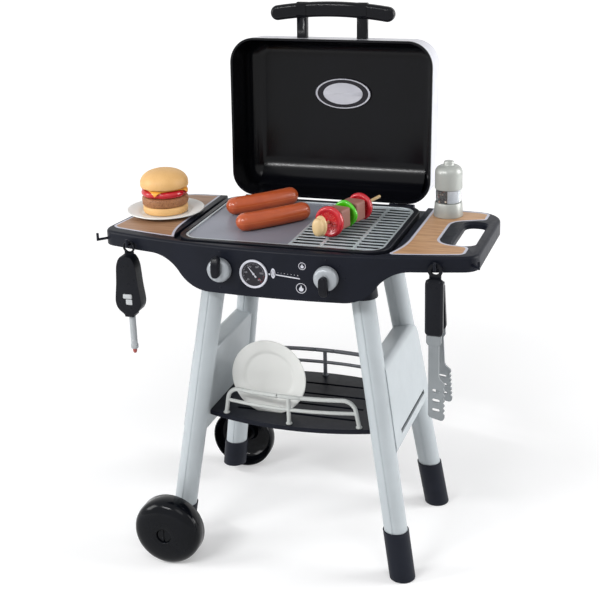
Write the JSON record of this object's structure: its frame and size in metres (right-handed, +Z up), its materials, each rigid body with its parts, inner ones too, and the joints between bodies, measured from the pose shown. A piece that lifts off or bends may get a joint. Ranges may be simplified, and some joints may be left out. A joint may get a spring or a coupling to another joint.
{
  "type": "toy barbecue grill",
  "caption": "Toy barbecue grill on a wheeled cart: hinged lid swung open, cooking plate with pretend food, shelves with wood inlays, knobs, plate rack and hanging tools",
  "frame": {"origin": "On the floor, under the middle of the whole grill's bounding box", "axes": "+X to the right as the player stands in front of it, +Y to its back, +Z up"},
  "size_m": [0.5251, 0.3868, 0.7407],
  "materials": {
    "black_plastic": "satin blue-black moulding",
    "grey_plastic": "satin light grey moulding",
    "pale_border": "smooth pale lilac-grey strip",
    "wood_print": "fine straight wood grain under a clear satin coat",
    "silver_plastic": "silver-coloured moulding",
    "dark_plastic": "near-black gloss moulding",
    "gauge_face": "silver bezel round a pale dial with plain figures",
    "steel_pin": "plain steel pins",
    "badge_plate": "plain oval plate, left bare",
    "tool_black": "satin black handles",
    "button_grey": "light grey trigger and tube",
    "tip_red": "red-brown tip",
    "tong_grey": "mid grey arms",
    "window_clear": "clear ring",
    "mill_silver": "satin silver coating",
    "sausage_brown": "orange-brown moulding",
    "tomato_red": "glossy red moulding",
    "pepper_green": "glossy green moulding",
    "meat_brown": "brown moulding",
    "stick_tan": "tan moulding",
    "plate_white": "off-white moulding",
    "bun_yellow": "pale yellow-tan moulding, finely bumpy on top",
    "patty_brown": "speckled brown moulding",
    "cheese_yellow": "thin yellow sheet"
  },
  "bodies": {
    "cart": {"deck_shell": "black_plastic", "firebox": "dark_plastic", "cooking_plate": "silver_plastic", "left_inlay": "wood_print", "right_inlay": "wood_print", "inlay_borders": "pale_border", "gauge_dial": "gauge_face", "left_front_leg": "grey_plastic", "left_rear_leg": "grey_plastic", "right_front_leg": "grey_plastic", "right_rear_leg": "grey_plastic", "left_side_panel": "grey_plastic", "right_side_panel": "grey_plastic", "left_front_foot": "black_plastic", "left_rear_foot": "black_plastic", "right_front_foot": "black_plastic", "right_rear_foot": "black_plastic", "wheel_bolts": "black_plastic", "lower_tray": "black_plastic", "front_rail": "grey_plastic", "rear_rail": "grey_plastic", "hinge_pins": "steel_pin", "tool_hooks": "dark_plastic"},
    "lid": {"lid_cover": "grey_plastic", "lid_liner": "dark_plastic", "lid_handle": "black_plastic", "lid_badge": "badge_plate"},
    "left_knob": {"left_knob_dial": "silver_plastic", "left_knob_lever": "dark_plastic"},
    "right_knob": {"right_knob_dial": "silver_plastic", "right_knob_lever": "dark_plastic"},
    "front_wheel_body": {"front_wheel": "black_plastic"},
    "rear_wheel_body": {"rear_wheel": "black_plastic"},
    "lighter": {"lighter_body": "tool_black", "lighter_tube": "button_grey"},
    "lighter_trigger": {"lighter_button": "button_grey"},
    "lighter_tip": {"lighter_flame": "tip_red"},
    "tongs": {"tongs_front_grip": "tool_black", "tongs_front_arm": "tong_grey", "tongs_pivot_pin": "steel_pin"},
    "tongs_rear": {"tongs_rear_grip": "tool_black", "tongs_rear_arm": "tong_grey"},
    "mill": {"mill_base": "mill_silver", "mill_window": "window_clear"},
    "mill_head": {"mill_cap": "mill_silver"},
    "sausage_at_rear": {"rear_sausage": "sausage_brown"},
    "sausage_at_front": {"front_sausage": "sausage_brown"},
    "skewer": {"skewer_stick": "stick_tan", "skewer_tomatoes": "tomato_red", "skewer_pepper": "pepper_green", "skewer_meat": "meat_brown"},
    "plate_with_burger": {"burger_plate": "plate_white"},
    "bun_bottom": {"bun_base": "bun_yellow"},
    "patty_body": {"patty": "patty_brown"},
    "tomato_body": {"tomato_slice": "tomato_red"},
    "cheese_body": {"cheese_slice": "cheese_yellow"},
    "bun_crown": {"bun_top": "bun_yellow"},
    "plate_in_rack": {"rack_plate": "plate_white"}
  },
  "joints": [
    {"name": "lid_hinge", "type": "hinge", "parent": "cart", "child": "lid", "pos_m": [0, 0.0987, 0.459], "axis": [1, 0, 0], "range_deg": [0, 93.6]},
    {"name": "left_knob_turn", "type": "hinge", "parent": "cart", "child": "left_knob", "pos_m": [-0.0724, -0.14743, 0.4357], "axis": [0, 1, 0], "range_deg": [0, 180]},
    {"name": "right_knob_turn", "type": "hinge", "parent": "cart", "child": "right_knob", "pos_m": [0.0724, -0.14743, 0.4357], "axis": [0, 1, 0], "range_deg": [-180, 0]},
    {"name": "front_wheel_spin", "type": "hinge", "parent": "cart", "child": "front_wheel_body", "pos_m": [-0.161, -0.1605, 0.049], "axis": [0, 1, 0], "continuous": true},
    {"name": "rear_wheel_spin", "type": "hinge", "parent": "cart", "child": "rear_wheel_body", "pos_m": [-0.161, 0.1195, 0.049], "axis": [0, 1, 0], "continuous": true},
    {"name": "lighter_swing", "type": "hinge", "parent": "cart", "child": "lighter", "pos_m": [-0.209, -0.1321, 0.454], "axis": [0, 1, 0], "range_deg": [-15, 15]},
    {"name": "lighter_press", "type": "slide", "parent": "lighter", "child": "lighter_trigger", "axis": [0, 0, -1], "range_m": [0, 0.006], "stiffness_N_per_m": 30, "springref_m": -0.003},
    {"name": "lighter_tip_slide", "type": "slide", "parent": "lighter", "child": "lighter_tip", "axis": [0, 0, -1], "range_m": [0, 0.006]},
    {"name": "tongs_swing", "type": "hinge", "parent": "cart", "child": "tongs", "pos_m": [0.209, -0.1321, 0.454], "axis": [0, 1, 0], "range_deg": [-15, 15]},
    {"name": "tongs_squeeze", "type": "hinge", "parent": "tongs", "child": "tongs_rear", "pos_m": [0.209, -0.1331, 0.434], "axis": [-1, 0, 0], "range_deg": [0, 12.5], "stiffness_Nm_per_rad": 0.05, "springref_deg": -11.46},
    {"name": "mill_lift", "type": "slide", "parent": "cart", "child": "mill", "axis": [0, 0, 1], "range_m": [0, 0.28]},
    {"name": "mill_head_turn", "type": "hinge", "parent": "mill", "child": "mill_head", "pos_m": [0.1855, 0.0548, 0.5427], "axis": [0, 0, 1], "continuous": true},
    {"name": "rear_sausage_lift", "type": "slide", "parent": "cart", "child": "sausage_at_rear", "axis": [0, 0, 1], "range_m": [0, 0.28]},
    {"name": "front_sausage_lift", "type": "slide", "parent": "cart", "child": "sausage_at_front", "axis": [0, 0, 1], "range_m": [0, 0.28]},
    {"name": "skewer_lift", "type": "slide", "parent": "cart", "child": "skewer", "axis": [0, 0, 1], "range_m": [0, 0.28]},
    {"name": "burger_plate_lift", "type": "slide", "parent": "cart", "child": "plate_with_burger", "axis": [0, 0, 1], "range_m": [0, 0.28]},
    {"name": "bun_base_lift", "type": "slide", "parent": "plate_with_burger", "child": "bun_bottom", "axis": [0, 0, 1], "range_m": [0, 0.06]},
    {"name": "patty_lift", "type": "slide", "parent": "bun_bottom", "child": "patty_body", "axis": [0, 0, 1], "range_m": [0, 0.06]},
    {"name": "tomato_lift", "type": "slide", "parent": "patty_body", "child": "tomato_body", "axis": [0, 0, 1], "range_m": [0, 0.06]},
    {"name": "cheese_lift", "type": "slide", "parent": "tomato_body", "child": "cheese_body", "axis": [0, 0, 1], "range_m": [0, 0.06]},
    {"name": "bun_top_lift", "type": "slide", "parent": "cheese_body", "child": "bun_crown", "axis": [0, 0, 1], "range_m": [0, 0.06]},
    {"name": "rack_plate_lift", "type": "slide", "parent": "cart", "child": "plate_in_rack", "axis": [0, 0, 1], "range_m": [0, 0.06]}
  ],
  "couplings": [
    {"joint": "lighter_tip_slide", "follows": "lighter_press", "ratio": 1}
  ]
}
